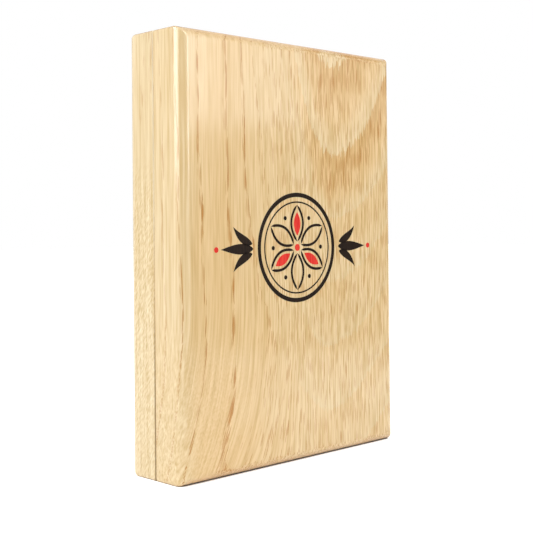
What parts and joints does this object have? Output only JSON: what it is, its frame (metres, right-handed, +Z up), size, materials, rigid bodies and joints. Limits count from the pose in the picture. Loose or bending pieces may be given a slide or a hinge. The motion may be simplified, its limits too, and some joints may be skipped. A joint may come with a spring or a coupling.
{
  "type": "playing card case",
  "caption": "Hinged oak playing card case: equal milled trays with rounded faces, felt-lined deck pockets side by side, brass butt hinges and a magnet closure.",
  "frame": {"origin": "middle of the footprint of the case standing on a short end, hinge barrels included", "axes": "+Z up along the length, +Y towards the back of the base, the lid faces -Y and the hinges are on the +X side"},
  "size_m": [0.1156, 0.0292, 0.156],
  "materials": {
    "oak": "satin lacquer",
    "brass": "satin",
    "nickel": "nickel plated",
    "felt": "matte"
  },
  "bodies": {
    "base": {"base_tray": "oak", "lower_hinge_base_leaf": "brass", "lower_hinge_pin": "brass", "lower_hinge_base_screws": "brass", "upper_hinge_base_leaf": "brass", "upper_hinge_pin": "brass", "upper_hinge_base_screws": "brass", "lower_base_magnet": "nickel", "upper_base_magnet": "nickel", "lower_base_pad": "felt", "upper_base_pad": "felt"},
    "lid": {"lid_tray": "oak", "lower_hinge_lid_leaf": "brass", "lower_hinge_lid_screws": "brass", "upper_hinge_lid_leaf": "brass", "upper_hinge_lid_screws": "brass", "lower_lid_magnet": "nickel", "upper_lid_magnet": "nickel", "lower_lid_pad": "felt", "upper_lid_pad": "felt"}
  },
  "joints": [
    {"name": "lid_hinge", "type": "hinge", "parent": "base", "child": "lid", "pos_m": [0.0561, 0, 0.078], "axis": [0, 0, 1], "range_deg": [0, 180]}
  ]
}
